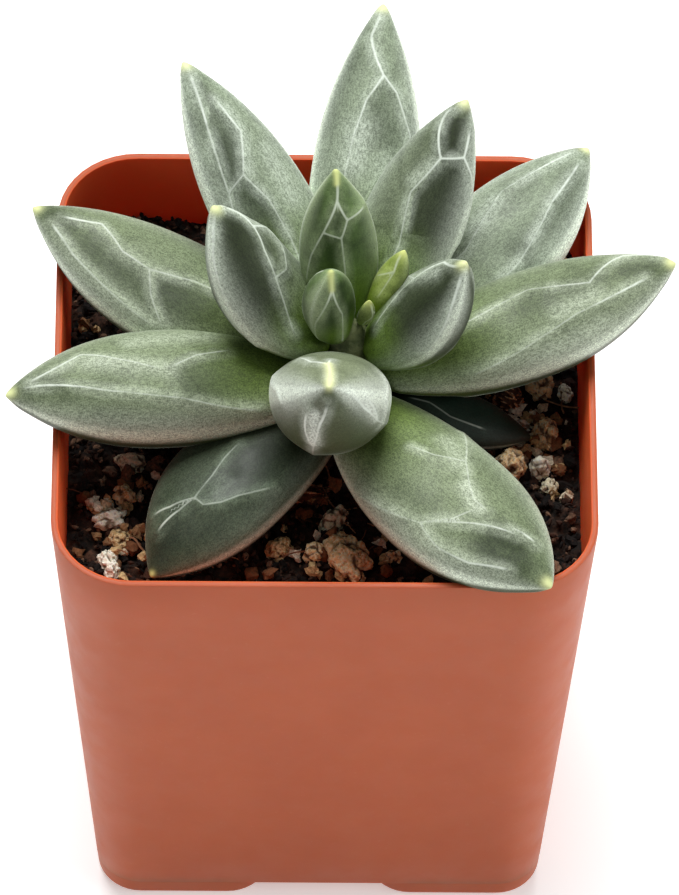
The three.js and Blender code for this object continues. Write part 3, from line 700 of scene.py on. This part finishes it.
def mark_facets(leaf, lines, name, middle, length, width, thick, widest):
    """Raises the facet lines a little and stores, point by point, what the skin needs to know."""
    small = min(1.0, width / 10)

    def on_skin(t, turn):
        """The place on the leaf at a share t of its length and at a turn round it."""
        angle = math.radians(turn)
        share = UPPER_SHARE if math.sin(angle) > 0 else 1 - UPPER_SHARE
        reach = leaf_reach(t, widest) * MM
        across = math.cos(angle) * width / 2 * reach
        up = math.sin(angle) * thick * share * reach
        return middle(t) + Vector((across, -up, 0))

    def points_along(path):
        """Closely set places on the leaf along a path."""
        found = []
        for (t0, turn0), (t1, turn1) in zip(path, path[1:]):
            for i in range(LINE_STEPS + 1):
                share = i / LINE_STEPS
                found.append(on_skin(t0 + (t1 - t0) * share, turn0 + (turn1 - turn0) * share))
        return found

    marks = []
    for line in lines:
        marks += points_along(line)
    tree = kdtree.KDTree(len(marks))
    for i, mark in enumerate(marks):
        tree.insert(mark, i)
    tree.balance()
    mesh = leaf.data
    points = points_of(mesh)
    nearest = np.array([tree.find(vertex.co)[0] for vertex in mesh.vertices])
    to_line = (nearest - points) / MM
    away = np.linalg.norm(to_line, axis=1)
    free_ends = []
    for line in lines:
        others = [mark for other in lines if other is not line for mark in points_along(other)]
        for end in (on_skin(*line[0]), on_skin(*line[-1])):
            if min(((end - mark).length for mark in others), default=1) > JOINED_WITHIN * MM:
                free_ends.append(end)
    to_end = np.full(len(points), 1.0)
    for end in free_ends:
        reach_out = np.linalg.norm(points - np.array(end), axis=1) / (FADE_LENGTH * small * MM)
        to_end = np.minimum(to_end, reach_out)
    store(mesh, "to_end", to_end)
    along = np.clip(points[:, 2] / (length * MM), 0, 1)
    centres = np.array([middle(t) for t in along])
    across = (points[:, 0] - centres[:, 0]) / MM
    reach = np.array([leaf_reach(t, widest) for t in along])
    edge = np.clip(np.abs(across) / (width / 2 * np.maximum(reach, 0.05)), 0, 1) ** 5
    store(mesh, "along", along)

    def closeness(path, reach_out):
        """How near each point is to a path: 1 on it, and fading out over reach_out millimetres."""
        apart = distances(points, np.array(points_along(path))[::5])
        return np.exp(-((apart / reach_out) ** 2))

    rise = (centres[:, 1] - points[:, 1]) / MM
    share = np.where(rise > 0, UPPER_SHARE, 1 - UPPER_SHARE)
    around = np.degrees(np.arctan2(rise / (thick * share), across / (width / 2)))
    facet = np.full(len(points), -3.0)
    hollow_shade = np.zeros(len(points))
    for corners, strength in HOLLOW_FACETS.get(name, []):
        closed = corners + corners[:1]
        # A point is inside if a line from it towards the tip crosses the outline an odd number of times.
        inside = np.zeros(len(points), dtype=bool)
        for (t0, turn0), (t1, turn1) in zip(closed, closed[1:]):
            crosses = (turn0 > around) != (turn1 > around)
            level = t0 + (t1 - t0) * (around - turn0) / ((turn1 - turn0) or 1)
            inside ^= crosses & (along < level)
        depth = distances(points, np.array(points_along(closed))[::3])
        depth = np.where(inside, depth, -depth)
        hollow_shade = np.where(depth > facet, strength, hollow_shade)
        facet = np.maximum(facet, depth)
    store(mesh, "facet", np.clip(facet, -3, 3))
    store(mesh, "hollow_shade", hollow_shade)

    for layer, table in (("shade", DARK_PATCHES), ("powder", POWDER_PATCHES)):
        cover = np.zeros(len(points))
        for path, reach_out, strength in table.get(name, []):
            cover = np.maximum(cover, strength * closeness(path, reach_out))
        store(mesh, layer, cover)
    store(mesh, "tip", closeness(*TIP_PATHS.get(name, PLAIN_TIP)))
    store(mesh, "away", away)
    store(mesh, "edge", edge)
    store(mesh, "to_line", to_line, "FLOAT_VECTOR", "vector")
    store(mesh, "own_place", points, "FLOAT_VECTOR", "vector")
    broad = (1 - CREST_SHARE) * np.exp(-((away / RIDGE_HALF_WIDTH) ** 2))
    ridge = broad + CREST_SHARE * np.exp(-((away / CREST_HALF_WIDTH) ** 2))
    group = leaf.vertex_groups.new(name="ridge")
    for i, weight in enumerate(ridge):
        if weight > 0.01:
            group.add([i], float(weight), "REPLACE")
    raise_ridges = leaf.modifiers.new("ridges", "DISPLACE")
    raise_ridges.vertex_group = "ridge"
    raise_ridges.mid_level = 0
    raise_ridges.strength = RIDGE_HEIGHT * small * MM
    apply_modifier(leaf, raise_ridges)
    leaf.vertex_groups.clear()


def pot_at(z):
    """The pot's outer width and corner radius at height z."""
    share = z / POT_HEIGHT
    width = POT_FOOT + (POT_RIM - POT_FOOT) * share
    corner = FOOT_CORNER + (RIM_CORNER - FOOT_CORNER) * share
    return width, corner


def mould_ring(width, corner, place):
    """Adds a square ring with rounded corners to the mesh being edited, and returns its points."""
    bpy.ops.mesh.select_all(action="DESELECT")
    bpy.ops.mesh.primitive_plane_add(size=width * MM, location=Vector(place) * MM + POT_AXIS)
    rounding = max(corner, SMALLEST_CORNER) * MM
    bpy.ops.mesh.bevel(offset=rounding, segments=CORNER_STEPS, affect="VERTICES")
    piece = bpy.context.edit_object
    piece.update_from_editmode()
    ring = [vertex.co.copy() for vertex in piece.data.vertices if vertex.select]
    bpy.ops.mesh.delete(type="ONLY_FACE")
    return ring


def rounded(point):
    """A point's place in tenths of a micrometre, to compare it with others."""
    return tuple(round(c * 1e7) for c in point)


def pick(points):
    """Selects the points of the mesh being edited that lie at these places, with the edges between them."""
    piece = bpy.context.edit_object
    bpy.ops.mesh.select_all(action="DESELECT")
    bpy.ops.object.mode_set(mode="OBJECT")
    wanted = {rounded(point) for point in points}
    for vertex in piece.data.vertices:
        vertex.select = rounded(vertex.co) in wanted
    bpy.ops.object.mode_set(mode="EDIT")
    bpy.ops.mesh.select_mode(type="VERT")


def cut_away(piece, cutter):
    cut = piece.modifiers.new("cut", "BOOLEAN")
    cut.operation = "DIFFERENCE"
    cut.solver = "EXACT"
    cut.object = cutter
    apply_modifier(piece, cut)
    bpy.data.objects.remove(cutter, do_unlink=True)


def mould_shell(stations):
    """Moulds a closed shell through rings, each given by its width, its corner radius and its place."""
    clear_selection()
    bpy.ops.mesh.primitive_plane_add(size=MM, location=(0, 0, 0))
    shell = bpy.context.active_object
    bpy.ops.object.mode_set(mode="EDIT")
    bpy.ops.mesh.delete(type="VERT")
    rings = [mould_ring(width, corner, place) for width, corner, place in stations]
    for ring, after in zip(rings, rings[1:]):
        pick(ring + after)
        bpy.ops.mesh.bridge_edge_loops()
    for end in (rings[0], rings[-1]):
        pick(end)
        bpy.ops.mesh.edge_face_add()
    bpy.ops.mesh.select_all(action="SELECT")
    bpy.ops.mesh.normals_make_consistent(inside=False)
    bpy.ops.object.mode_set(mode="OBJECT")
    return shell


def mould_foot(sign_x, sign_y):
    """One corner foot, rounded at its lower edge, that goes up into the pot's floor."""
    stations = []
    for i in range(FOOT_EDGE_STEPS + 2):
        angle = min(i / FOOT_EDGE_STEPS, 1) * math.pi / 2
        z = FOOT_EDGE * (1 - math.cos(angle)) if i <= FOOT_EDGE_STEPS else NOTCH_HEIGHT + POT_FLOOR / 2
        inset = FOOT_EDGE * (1 - math.sin(angle))
        width, corner = pot_at(z)
        far = width / 2 - FOOT_APART - inset
        near = NOTCH_WIDTH / 2 + inset
        middle = (far + near) / 2
        stations.append((far - near, corner - inset, (sign_x * middle, sign_y * middle, z)))
    return mould_shell(stations)


def mould_pot(material):
    """Moulds the pot from heights and insets: up its outside, over the rim and down its inside."""
    wall = [(NOTCH_HEIGHT, 0.2), (NOTCH_HEIGHT + 0.07, 0.06), (NOTCH_HEIGHT + 0.2, 0)]
    wall += [(POT_HEIGHT * share, 0) for share in (0.12, 0.3, 0.5, 0.7, 0.9)]
    wall += [(POT_HEIGHT - RIM_EDGE - 0.05, 0), (POT_HEIGHT - 0.07, 0.06), (POT_HEIGHT, RIM_EDGE + 0.05)]
    wall += [(POT_HEIGHT - 0.015, POT_WALL - 0.25), (POT_HEIGHT - 0.1, POT_WALL - 0.06)]
    wall += [(POT_HEIGHT - RIM_EDGE - 0.1, POT_WALL)]
    floor_top = NOTCH_HEIGHT + POT_FLOOR
    wall += [(POT_HEIGHT * share, POT_WALL) for share in (0.9, 0.8, 0.6, 0.4, 0.2)]
    wall += [(floor_top + 1.2, POT_WALL), (floor_top + 0.36, POT_WALL + 0.36), (floor_top, POT_WALL + 1.2)]
    stations = []
    for z, inset in wall:
        width, corner = pot_at(z)
        stations.append((width - 2 * inset, corner - inset, (0, 0, z)))
    pot = mould_shell(stations)
    for x, y in ((0, 0), (1, 0), (-1, 0), (0, 1), (0, -1)):
        clear_selection()
        place = (POT_AXIS.x + x * DRAIN_OFFSET * MM, POT_AXIS.y + y * DRAIN_OFFSET * MM, floor_top * MM)
        radius = DRAIN_RADIUS * MM
        bpy.ops.mesh.primitive_cylinder_add(vertices=32, radius=radius, depth=6 * MM, location=place)
        cut_away(pot, bpy.context.active_object)
    feet = [mould_foot(sign_x, sign_y) for sign_x in (1, -1) for sign_y in (1, -1)]
    clear_selection()
    for piece in feet + [pot]:
        piece.select_set(True)
    bpy.context.view_layer.objects.active = pot
    bpy.ops.object.join()
    pot.data.materials.clear()
    pot.data.materials.append(material)
    # Points of the inner wall are marked for its brighter red, painted light for what shines through the
    # thin wall.
    inside = []
    for vertex in pot.data.vertices:
        x, y, z = (vertex.co - POT_AXIS) / MM
        width, corner = pot_at(z)
        half = width / 2 - POT_WALL
        reach = max(half - max(corner - POT_WALL, SMALLEST_CORNER), 0)
        beyond = math.hypot(max(abs(x) - reach, 0), max(abs(y) - reach, 0)) + reach
        inside.append(1.0 if z > NOTCH_HEIGHT + 0.1 and beyond < half + 0.1 else 0.0)
    store(pot.data, "inside", inside)
    settle(pot, "moulded_pot")
    bpy.ops.object.shade_smooth_by_angle(angle=math.radians(32))
    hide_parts("pot")


def pot_plastic():
    m = Nodes("terracotta_plastic")
    mottle = m.span(m.noise(9.0, 4.0, 0.55), 0.3, 0.7)
    color = m.mix(mottle, tint(0.440, 0.097, 0.035), tint(0.465, 0.105, 0.038))
    # Painted light: the inner wall is a brighter red, for the light that comes through the thin wall.
    color = m.mix(m.value("inside"), color, tint(0.74, 0.12, 0.034))
    dust = m.span(m.noise(0.5, 3.0, 0.6), 0.62, 0.78, 0.0, 0.10)
    color = m.mix(dust, color, tint(0.60, 0.30, 0.20))
    roughness = m.span(m.noise(3.0, 4.0), 0.3, 0.7, 0.42, 0.52)
    m.bump(m.noise(0.6, 4.0, 0.6), 0.015, 0.5)
    return m.finish(
        color,
        roughness,
        Specular_IOR_Level=0.22,
        Subsurface_Weight=0.3,
        Subsurface_Radius=(1.0, 0.2, 0.06),
        Subsurface_Scale=1.6 * MM,
    )


def soil_height(x, y):
    """Height of the soil's top at a plan position in the pot, as in the solid model."""
    lumps = math.sin(0.71 * x + 1.3) * math.cos(0.83 * y - 0.4)
    lumps += 0.6 * math.sin(1.57 * x - 0.9 * y) + 0.5 * math.cos(1.9 * y + 1.1 * x + 2.0)
    return SOIL_TOP + SOIL_RELIEF * lumps / 2.1


def inside_pot(x, y, z, gap):
    """Draws a plan position in to the space inside the pot's wall at height z."""
    width, corner = pot_at(z)
    half = width / 2 - POT_WALL - gap
    corner = max(corner - POT_WALL - gap, 0.5)
    x = max(-half, min(half, x))
    y = max(-half, min(half, y))
    reach = half - corner
    dx = abs(x) - reach
    dy = abs(y) - reach
    if dx > 0 and dy > 0 and math.hypot(dx, dy) > corner:
        shrink = corner / math.hypot(dx, dy)
        x = math.copysign(reach + dx * shrink, x)
        y = math.copysign(reach + dy * shrink, y)
    return x, y


def fill_soil(material):
    """Models the soil as a rough grid that is fitted to the pot and drawn down to its floor."""
    clear_selection()
    size = POT_RIM - 2 * POT_WALL
    bpy.ops.mesh.primitive_grid_add(
        x_subdivisions=SOIL_GRID, y_subdivisions=SOIL_GRID, size=size, location=(0, 0, 0)
    )
    soil = bpy.context.active_object
    for vertex in soil.data.vertices:
        x, y = inside_pot(vertex.co.x, vertex.co.y, SOIL_TOP, 0.05)
        spot = Vector((x, y, 0))
        rough = 0.55 * noise.turbulence(spot * 0.9, 5, False) + 0.35 * noise.noise(spot * 0.45)
        z = soil_height(x, y) - 0.35 + rough
        vertex.co = Vector((x, y, z)) * MM + POT_AXIS
    bpy.ops.object.mode_set(mode="EDIT")
    bpy.ops.mesh.select_mode(type="VERT")
    bpy.ops.mesh.select_all(action="DESELECT")
    bpy.ops.mesh.select_non_manifold()
    floor_top = NOTCH_HEIGHT + POT_FLOOR + 0.3
    drop = (floor_top - SOIL_TOP) * MM
    bpy.ops.mesh.extrude_region_move(TRANSFORM_OT_translate={"value": (0, 0, drop)})
    centre = Vector((0, 0, floor_top)) * MM + POT_AXIS
    shrink = (pot_at(floor_top)[0] - 2 * POT_WALL - 3) / (pot_at(SOIL_TOP)[0] - 2 * POT_WALL)
    bpy.ops.transform.resize(value=(shrink, shrink, 0), center_override=centre)
    bpy.ops.mesh.edge_face_add()
    bpy.ops.mesh.select_all(action="SELECT")
    bpy.ops.mesh.normals_make_consistent(inside=False)
    bpy.ops.object.mode_set(mode="OBJECT")
    soil.data.materials.append(material)
    settle(soil, "potting_soil")
    bpy.ops.object.shade_smooth()
    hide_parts("soil")


def soil_earth():
    m = Nodes("dark_soil")
    lumps = m.span(m.noise(1.6, 6.0, 0.7), 0.42, 0.68)
    color = m.mix(lumps, tint(0.010, 0.007, 0.005), tint(0.075, 0.033, 0.018))
    flecks = m.span(m.noise(0.35, 3.0, 0.7), 0.62, 0.74, 0.0, 0.7)
    color = m.mix(flecks, color, tint(0.22, 0.10, 0.055))
    m.bump(m.noise(0.5, 6.0, 0.75), 0.35)
    return m.finish(color, 0.9, Specular_IOR_Level=0.3)


def crumb_earth():
    m = Nodes("soil_crumbs")
    tone = m.value("tone")
    color = m.mix(m.span(tone, 0.25, 0.75), tint(0.006, 0.004, 0.003), tint(0.055, 0.021, 0.011))
    color = m.mix(m.span(tone, 0.8, 0.95), color, tint(0.26, 0.15, 0.09))
    fine = m.span(m.noise(0.3, 4.0, 0.7), 0.35, 0.7)
    color = m.mix(fine, m.mix(0.6, color, tint(0.0, 0.0, 0.0)), color)
    m.bump(m.noise(0.2, 4.0, 0.7), 0.12)
    return m.finish(color, 0.92, Specular_IOR_Level=0.3)


def roughen(lump, roughness, size, seed):
    """Moves the points of a ball in and out at random."""
    draw = random.Random(seed)
    shift = Vector((draw.uniform(-9, 9), draw.uniform(-9, 9), draw.uniform(-9, 9)))
    for vertex in lump.data.vertices:
        vertex.co *= 1 + roughness * noise.noise(vertex.co * size + shift)
    return lump


def dust_grain(seed):
    """One grain of dust to copy, of twenty faces."""
    clear_selection()
    bpy.ops.mesh.primitive_ico_sphere_add(subdivisions=1, radius=1.0, location=(0, 0, 0))
    return roughen(bpy.context.active_object, roughness=0.5, size=1.3, seed=seed)


def rough_crumb(seed, roughness=0.8):
    """One crumb to copy, of a few dozen faces."""
    clear_selection()
    bpy.ops.mesh.primitive_uv_sphere_add(segments=6, ring_count=5, radius=1.0, location=(0, 0, 0))
    bpy.ops.object.mode_set(mode="EDIT")
    bpy.ops.mesh.select_all(action="SELECT")
    bpy.ops.mesh.quads_convert_to_tris()
    bpy.ops.object.mode_set(mode="OBJECT")
    return roughen(bpy.context.active_object, roughness, size=1.4, seed=seed)


def bent_fibre(seed):
    """One thin bent strand to copy, about two units long."""
    draw = random.Random(seed)
    clear_selection()
    bpy.ops.mesh.primitive_circle_add(vertices=4, radius=0.05, fill_type="NGON", location=(0, 0, -1))
    bpy.ops.object.mode_set(mode="EDIT")
    bpy.ops.mesh.select_all(action="SELECT")
    bend = (draw.uniform(-0.2, 0.2), draw.uniform(-0.2, 0.2))
    for _ in range(6):
        bend = (bend[0] + draw.uniform(-0.12, 0.12), bend[1] + draw.uniform(-0.12, 0.12))
        bpy.ops.mesh.extrude_region_move(TRANSFORM_OT_translate={"value": (bend[0], bend[1], 0.33)})
    bpy.ops.mesh.select_all(action="SELECT")
    bpy.ops.mesh.fill_holes(sides=0)
    bpy.ops.mesh.quads_convert_to_tris()
    bpy.ops.mesh.normals_make_consistent(inside=False)
    bpy.ops.object.mode_set(mode="OBJECT")
    return bpy.context.active_object


def scatter(name, lumps, spots, material):
    """Joins turned copies of the lumps into one piece.

    A spot is a place, three half-lengths, a turn and a tone.
    """
    shapes = []
    for lump in lumps:
        faces = np.array([tuple(face.vertices) for face in lump.data.polygons])
        shapes.append((points_of(lump.data), faces))
        bpy.data.objects.remove(lump, do_unlink=True)
    points = []
    faces = []
    tones = []
    count = 0
    for i, (place, half, turn, tone) in enumerate(spots):
        shape, corners = shapes[i % len(shapes)]
        turned = (shape * np.array(half)) @ np.array(turn.to_matrix()).T
        points.append((turned + np.array(place)) * MM + np.array(POT_AXIS))
        faces.append(corners + count)
        tones.append(np.full(len(shape), tone))
        count += len(shape)
    mesh = bpy.data.meshes.new(name)
    mesh.from_pydata(np.concatenate(points).tolist(), [], np.concatenate(faces).tolist())
    store(mesh, "tone", np.concatenate(tones))
    piece = bpy.data.objects.new(name, mesh)
    bpy.context.scene.collection.objects.link(piece)
    mesh.materials.append(material)
    settle(piece, name)


def random_place(draw, half, gap):
    """A random plan position on the soil, at least a gap from the pot's wall."""
    return inside_pot(draw.uniform(-half, half), draw.uniform(-half, half), SOIL_TOP, gap)


def random_turn(draw):
    return Vector((draw.gauss(0, 1), draw.gauss(0, 1), draw.gauss(0, 1))).to_track_quat("Z", "Y")


def strew_crumbs(material):
    """Crumbs of soil, with finer dust between them."""
    draw = random.Random(11)
    lumps = [rough_crumb(seed) for seed in range(6)]
    spots = []
    for _ in range(CRUMBS):
        x, y = random_place(draw, 24, 0.9)
        size = 0.22 + 0.75 * draw.random() ** 2.6
        half = (size, size * draw.uniform(0.6, 1), size * draw.uniform(0.5, 0.9))
        z = soil_height(x, y) + draw.uniform(-0.1, 0.3)
        spots.append(((x, y, z), half, random_turn(draw), draw.random()))
    scatter("soil_crumbs", lumps, spots, material)
    lumps = [dust_grain(40 + seed) for seed in range(5)]
    spots = []
    for _ in range(DUST_GRAINS):
        x, y = random_place(draw, 24, 0.4)
        size = draw.uniform(0.1, 0.34)
        half = (size * draw.uniform(1, 1.9), size, size * draw.uniform(0.6, 1))
        z = soil_height(x, y) + draw.uniform(0.0, 0.35)
        spots.append(((x, y, z), half, random_turn(draw), draw.random()))
    scatter("soil_dust", lumps, spots, material)


def strew_fibres(material):
    """Thin root fibres that lie nearly flat."""
    draw = random.Random(23)
    strands = [bent_fibre(seed) for seed in range(5)]
    spots = []
    for _ in range(FIBRES):
        x, y = random_place(draw, 23, 1.6)
        long = draw.uniform(0.7, 1.7)
        half = (draw.uniform(1.0, 2.2), draw.uniform(1.0, 2.2), long)
        turn = Vector((draw.gauss(0, 1), draw.gauss(0, 1), draw.gauss(0, 0.16))).to_track_quat("Z", "Y")
        z = soil_height(x, y) + draw.uniform(0.25, 0.6)
        spots.append(((x, y, z), half, turn, draw.random()))
    scatter("soil_fibres", strands, spots, material)


def strew_chips(material):
    """Small broken chips of pumice round the larger grains."""
    draw = random.Random(37)
    lumps = [rough_crumb(70 + seed, 0.95) for seed in range(6)]
    spots = []
    for middle_x, middle_y, spread, count in CHIP_HEAPS:
        for _ in range(count):
            x, y = inside_pot(draw.gauss(middle_x, spread), draw.gauss(middle_y, spread), SOIL_TOP, 1.2)
            size = draw.uniform(0.3, 0.85)
            half = (size, size * draw.uniform(0.6, 1), size * draw.uniform(0.55, 0.9))
            z = soil_height(x, y) + 0.35 * size + draw.uniform(0, 0.3)
            spots.append(((x, y, z), half, random_turn(draw), draw.random()))
    scatter("pumice_chips", lumps, spots, material)


def pumice_stone(name, dark, light, speck, cleft_shade):
    m = Nodes(name)
    pores = m.span(m.cells(0.42), 0.15, 0.55)
    clouds = m.span(m.noise(0.9, 5.0, 0.65), 0.32, 0.56)
    color = m.mix(clouds, dark, light)
    color = m.mix(m.span(m.noise(0.25, 3.0, 0.7), 0.46, 0.60, 0.0, 0.9), color, speck)
    # Painted shade: darker in the pores and where the grain is cracked or sunk.
    color = m.mix(m.combine("MULTIPLY", m.span(pores, 0.5, 0.0), 0.35), color, cleft_shade)
    color = m.mix(m.span(m.value("sunk_shade"), 0.50, 0.78, 0.0, 0.92), color, cleft_shade)
    rough = m.combine("ADD", m.combine("MULTIPLY", pores, 0.5), m.noise(0.3, 5.0, 0.75))
    m.bump(rough, 0.22)
    return m.finish(color, 0.9, Specular_IOR_Level=0.3)


def chip_stone():
    m = Nodes("pumice_chips")
    tone = m.value("tone")
    color = m.mix(m.span(tone, 0.1, 0.55), tint(0.20, 0.075, 0.028), tint(0.72, 0.50, 0.24))
    color = m.mix(m.span(tone, 0.7, 0.9), color, tint(0.92, 0.84, 0.66))
    fine = m.span(m.noise(0.25, 4.0, 0.7), 0.35, 0.65)
    color = m.mix(fine, m.mix(0.55, color, tint(0.05, 0.02, 0.01)), color)
    m.bump(m.noise(0.2, 4.0, 0.7), 0.12)
    return m.finish(color, 0.9, Specular_IOR_Level=0.3)


def fibre_skin():
    m = Nodes("soil_fibres")
    color = m.mix(m.value("tone"), tint(0.14, 0.045, 0.022), tint(0.46, 0.25, 0.13))
    fine = m.span(m.noise(0.4, 3.0), 0.35, 0.65)
    color = m.mix(fine, m.mix(0.5, color, tint(0.03, 0.01, 0.006)), color)
    return m.finish(color, 0.8, Specular_IOR_Level=0.3)


def lay_grain(name, at, half, turn, material):
    """One grain of pumice, cracked and knobbly, or one grooved chip of bark: a ball squashed to size."""
    is_bark = name.startswith("bark")
    clear_selection()
    detail = 6 if half[1] > LARGE_GRAIN else 5 if half[1] > MEDIUM_GRAIN else 4
    bpy.ops.mesh.primitive_ico_sphere_add(subdivisions=detail, radius=1.0, location=(0, 0, 0))
    grain = bpy.context.active_object
    seed = at[0] * 1.7 + at[1] * 2.3
    shift = Vector((seed, -seed, 2 * seed))
    # How far each point lies in a crack, a low or a groove, for the painted shade in the clefts.
    sunk_shade = []
    for vertex in grain.data.vertices:
        p = vertex.co.copy()
        wave = math.sin(3.1 * p.x + seed) + math.sin(4.3 * p.y - seed) + math.sin(3.7 * p.z + 2 * seed)
        size = 1 + 0.06 * wave
        if is_bark:
            grooves = noise.turbulence(Vector((p.x * 1.2, p.y * 5, p.z * 5)) + shift, 4, False)
            deep_shade = 0.95 - grooves
            size += 0.40 * (grooves - 0.55)
        else:
            knob, knob_next = noise.voronoi(p * 0.95 + shift)[0][:2]
            crack = max(0.0, 1 - (knob_next - knob) / 0.24)
            lumps = noise.turbulence(p * 1.9 + shift, 3, False)
            fine = noise.turbulence(p * 6.0 + shift, 3, True)
            deep_shade = 0.28 + 0.36 * crack + 0.3 * (0.42 - lumps)
            size += 0.12 * (0.42 - knob) - 0.10 * crack
            size += 0.22 * (lumps - 0.42) + 0.07 * (fine - 0.5) + 0.05
        sunk_shade.append(deep_shade)
        vertex.co = Vector((p.x * half[0], p.y * half[1], p.z * half[2])) * (size * MM)
    store(grain.data, "sunk_shade", sunk_shade)
    height = soil_height(*at) + half[2] * 0.35
    grain.location = Vector((at[0], at[1], height)) * MM + POT_AXIS
    grain.rotation_euler = (0, 0, math.radians(turn))
    grain.data.materials.append(material)
    settle(grain, name + "_grain")
    bpy.ops.object.shade_smooth()
    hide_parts(name)


def stem_skin():
    m = Nodes("stem_skin")
    rings = m.span(m.noise(1.2, 4.0, 0.6), 0.35, 0.65)
    color = m.mix(rings, tint(0.10, 0.13, 0.05), tint(0.24, 0.27, 0.12))
    m.bump(m.noise(0.6, 4.0, 0.7), 0.2)
    return m.finish(color, 0.65)


def light_and_floor():
    """A pale floor, a soft white room and the lamps."""
    clear_selection()
    bpy.ops.mesh.primitive_plane_add(size=6, location=(0, 0, 0))
    floor = bpy.context.active_object
    floor.name = "floor"
    m = Nodes("pale_floor")
    white = tint(0.90, 0.90, 0.90)
    pale = m.finish(white, 0.9, Specular_IOR_Level=0.1, Emission_Color=white, Emission_Strength=0.42)
    floor.data.materials.append(pale)
    world = bpy.data.worlds.new("soft_room")
    world.use_nodes = True
    background = world.node_tree.nodes["Background"]
    background.inputs["Color"].default_value = (1, 1, 1, 1)
    background.inputs["Strength"].default_value = 0.18
    bpy.context.scene.world = world
    bpy.context.scene.view_settings.view_transform = "Standard"
    for name, place, size, power in LAMPS:
        lamp = bpy.data.lights.new(name, "AREA")
        lamp.size = size
        lamp.energy = power
        light = bpy.data.objects.new(name, lamp)
        light.location = place
        light.rotation_euler = (LAMPS_AIM - Vector(place)).to_track_quat("-Z", "Y").to_euler()
        bpy.context.scene.collection.objects.link(light)


def set_camera():
    """Sets the camera where the photo was taken from, turned by its roll."""
    back = Vector((
        math.sin(CAMERA_ROUND) * math.cos(CAMERA_RAISED),
        -math.cos(CAMERA_ROUND) * math.cos(CAMERA_RAISED),
        math.sin(CAMERA_RAISED),
    ))
    level = Vector((math.cos(CAMERA_ROUND), math.sin(CAMERA_ROUND), 0))
    upright = back.cross(level)
    right = level * math.cos(CAMERA_ROLL) + upright * math.sin(CAMERA_ROLL)
    up = upright * math.cos(CAMERA_ROLL) - level * math.sin(CAMERA_ROLL)
    place = Vector((0, 0, POT_HEIGHT)) + back * CAMERA_AWAY + right * CAMERA_ASIDE + up * CAMERA_UP
    camera = bpy.data.objects.new("camera", bpy.data.cameras.new("camera"))
    camera.data.lens = CAMERA_LENS
    camera.data.clip_start = 0.05
    turned = Matrix((right, up, back)).transposed().to_4x4()
    camera.matrix_world = Matrix.Translation(place * MM + POT_AXIS) @ turned
    bpy.context.scene.collection.objects.link(camera)
    bpy.context.scene.camera = camera


set_camera()
light_and_floor()
mould_pot(pot_plastic())

skins = {}
for key, dark, light, neck, powder, graininess in SKINS:
    colors = [tint(*color) for color in (dark, light, neck, powder)]
    outline_span = WIDE_OUTLINE if key == "back" else THIN_OUTLINE
    skins[key] = leaf_skin(key + "_leaf", *colors, graininess, outline_span)
for name, base, tip, width, thick, sag, bend, widest, skin in LEAVES:
    smoothings = 2 if skin in ("bud", "deep_shade") else 3
    grow_leaf(name, base, tip, width, thick, sag, bend, widest, skins[skin], smoothings)

fill_soil(soil_earth())
strew_crumbs(crumb_earth())
strew_fibres(fibre_skin())
strew_chips(chip_stone())
stones = {}
for kind, dark, light, speck, cleft_shade in STONES:
    stones[kind] = pumice_stone(kind + "_stone", tint(*dark), tint(*light), tint(*speck), tint(*cleft_shade))
for name, at, half, turn, kind in GRIT:
    lay_grain(name, at, half, turn, stones[kind])

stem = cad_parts["stem"]
stem.data.materials.clear()
stem.data.materials.append(stem_skin())
